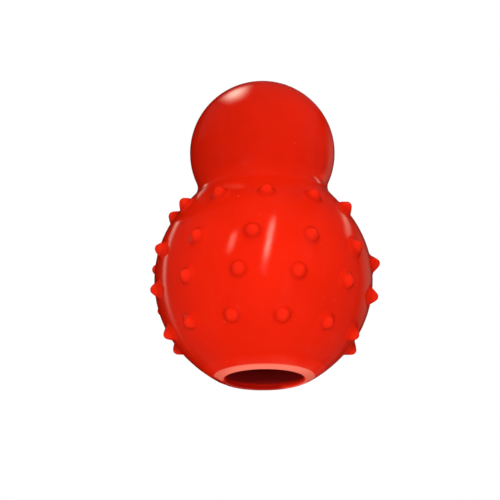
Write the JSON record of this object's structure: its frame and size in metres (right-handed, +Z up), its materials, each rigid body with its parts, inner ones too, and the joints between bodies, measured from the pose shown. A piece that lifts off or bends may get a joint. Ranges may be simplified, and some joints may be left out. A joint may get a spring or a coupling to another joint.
{
  "type": "treat-dispensing dog toy",
  "caption": "Hollow red rubber dog toy: a nubbed ball with a round head on a soft waist, and a rimmed fill hole underneath for treats.",
  "frame": {"origin": "centre of the flat ring under the fill hole's rim, on the surface that the toy stands on", "axes": "+Z up along the toy's axis, from the fill hole to the top of the head; -Y faces the picture's camera"},
  "size_m": [0.0693, 0.0699, 0.0943],
  "materials": {
    "red_rubber": "smooth moulded rubber, semi-gloss"
  },
  "bodies": {
    "root": {"ball_shell": "red_rubber", "head_shell": "red_rubber", "mouth_rim": "red_rubber", "nub_shoulder_01": "red_rubber", "nub_shoulder_02": "red_rubber", "nub_shoulder_03": "red_rubber", "nub_shoulder_04": "red_rubber", "nub_shoulder_05": "red_rubber", "nub_shoulder_06": "red_rubber", "nub_shoulder_07": "red_rubber", "nub_shoulder_08": "red_rubber", "nub_shoulder_09": "red_rubber", "nub_shoulder_10": "red_rubber", "nub_shoulder_11": "red_rubber", "nub_upper_01": "red_rubber", "nub_upper_02": "red_rubber", "nub_upper_03": "red_rubber", "nub_upper_04": "red_rubber", "nub_upper_05": "red_rubber", "nub_upper_06": "red_rubber", "nub_upper_07": "red_rubber", "nub_upper_08": "red_rubber", "nub_upper_09": "red_rubber", "nub_upper_10": "red_rubber", "nub_upper_11": "red_rubber", "nub_lower_01": "red_rubber", "nub_lower_02": "red_rubber", "nub_lower_03": "red_rubber", "nub_lower_04": "red_rubber", "nub_lower_05": "red_rubber", "nub_lower_06": "red_rubber", "nub_lower_07": "red_rubber", "nub_lower_08": "red_rubber", "nub_lower_09": "red_rubber", "nub_lower_10": "red_rubber", "nub_lower_11": "red_rubber", "nub_under_01": "red_rubber", "nub_under_02": "red_rubber", "nub_under_03": "red_rubber", "nub_under_04": "red_rubber", "nub_under_05": "red_rubber", "nub_under_06": "red_rubber", "nub_under_07": "red_rubber", "nub_under_08": "red_rubber", "nub_under_09": "red_rubber", "nub_under_10": "red_rubber", "nub_under_11": "red_rubber"}
  },
  "joints": []
}
